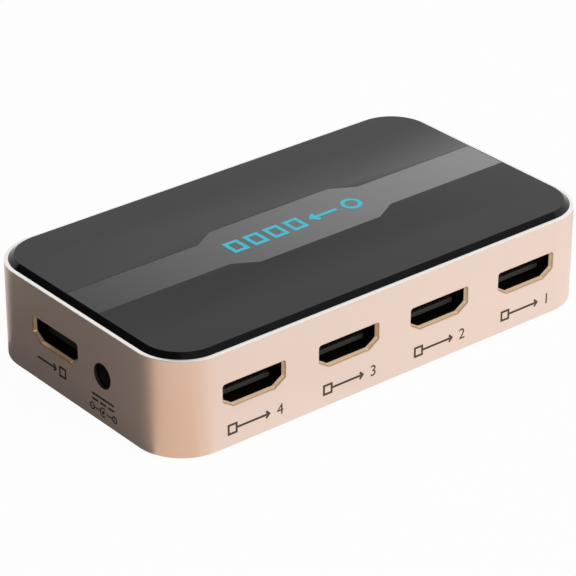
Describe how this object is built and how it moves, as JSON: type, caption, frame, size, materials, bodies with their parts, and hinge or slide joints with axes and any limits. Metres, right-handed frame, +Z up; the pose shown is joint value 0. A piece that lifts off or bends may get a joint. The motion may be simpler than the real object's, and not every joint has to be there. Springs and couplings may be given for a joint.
{
  "type": "video splitter",
  "caption": "Low rounded metal box that repeats a video signal from an input socket on its end to a row of output sockets on its long side, with a round power jack.",
  "frame": {"origin": "centre of the footprint, on the plane that the feet stand on", "axes": "+X along the length, +Z up through the top panel; outputs face -Y, the input and the power jack face -X"},
  "size_m": [0.105, 0.0594, 0.0221],
  "materials": {
    "rose_metal": "fine bead-blasted, rose-gold anodised",
    "gloss_black": "polished, near black",
    "grey_foil": "grey foil under a gloss coat",
    "adhesive": "double-sided adhesive sheet",
    "black_plate": "fine black powder coat",
    "zinc_steel": "zinc plated",
    "black_rubber": "matt moulded rubber",
    "board_green": "green solder mask",
    "black_plastic": "moulded",
    "gold_shell": "gold plated",
    "gold_contact": "gold plated",
    "plated_brass": "nickel plated",
    "chip_black": "moulded package",
    "tinned_leads": "tinned",
    "pad_grey": "soft thermal pad",
    "plain_aluminium": "plain",
    "ferrite": "moulded ferrite",
    "ceramic": "ceramic with tinned ends"
  },
  "bodies": {
    "root": {"case": "rose_metal", "top_panel": "gloss_black", "stripe_inlay": "grey_foil", "panel_adhesive": "adhesive", "bottom_cover": "black_plate", "cover_screws": "zinc_steel", "rubber_feet": "black_rubber", "circuit_board": "board_green", "board_screws": "zinc_steel", "jack_body": "black_plastic", "jack_centre_pin": "plated_brass", "jack_pin_terminal": "plated_brass", "jack_sleeve_terminal": "plated_brass", "splitter_chip": "chip_black", "splitter_chip_leads": "tinned_leads", "thermal_pad": "pad_grey", "heat_sink": "plain_aluminium", "small_chips": "chip_black", "small_chip_leads": "tinned_leads", "voltage_regulators": "chip_black", "regulator_leads": "tinned_leads", "power_inductor": "ferrite", "capacitor_cans": "plain_aluminium", "capacitor_bases": "black_plastic", "crystal": "zinc_steel", "small_parts": "ceramic", "surge_arresters": "chip_black", "output_1_shell": "gold_shell", "output_1_insulator": "black_plastic", "output_1_contacts": "gold_contact", "output_2_shell": "gold_shell", "output_2_insulator": "black_plastic", "output_2_contacts": "gold_contact", "output_3_shell": "gold_shell", "output_3_insulator": "black_plastic", "output_3_contacts": "gold_contact", "output_4_shell": "gold_shell", "output_4_insulator": "black_plastic", "output_4_contacts": "gold_contact", "input_shell": "gold_shell", "input_insulator": "black_plastic", "input_contacts": "gold_contact"},
    "output_1_spring_pair": {"output_1_springs": "gold_shell"},
    "output_2_spring_pair": {"output_2_springs": "gold_shell"},
    "output_3_spring_pair": {"output_3_springs": "gold_shell"},
    "output_4_spring_pair": {"output_4_springs": "gold_shell"},
    "input_spring_pair": {"input_springs": "gold_shell"},
    "jack_leaf": {"jack_spring_leaf": "plated_brass"}
  },
  "joints": [
    {"name": "output_1_spring_flex", "type": "hinge", "parent": "root", "child": "output_1_spring_pair", "pos_m": [0.03415, -0.02145, 0.01432], "axis": [-1, 0, 0], "range_deg": [0, 4.4], "stiffness_Nm_per_rad": 0.2},
    {"name": "output_2_spring_flex", "type": "hinge", "parent": "root", "child": "output_2_spring_pair", "pos_m": [0.01155, -0.02145, 0.01432], "axis": [-1, 0, 0], "range_deg": [0, 4.4], "stiffness_Nm_per_rad": 0.2},
    {"name": "output_3_spring_flex", "type": "hinge", "parent": "root", "child": "output_3_spring_pair", "pos_m": [-0.01105, -0.02145, 0.01432], "axis": [-1, 0, 0], "range_deg": [0, 4.4], "stiffness_Nm_per_rad": 0.2},
    {"name": "output_4_spring_flex", "type": "hinge", "parent": "root", "child": "output_4_spring_pair", "pos_m": [-0.03365, -0.02145, 0.01432], "axis": [-1, 0, 0], "range_deg": [0, 4.4], "stiffness_Nm_per_rad": 0.2},
    {"name": "input_spring_flex", "type": "hinge", "parent": "root", "child": "input_spring_pair", "pos_m": [-0.04435, 0.00645, 0.01432], "axis": [0, 1, 0], "range_deg": [0, 4.4], "stiffness_Nm_per_rad": 0.2},
    {"name": "jack_leaf_flex", "type": "hinge", "parent": "root", "child": "jack_leaf", "pos_m": [-0.04275, -0.00855, 0.0136], "axis": [0, 1, 0], "range_deg": [0, 4.2], "stiffness_Nm_per_rad": 0.2}
  ]
}
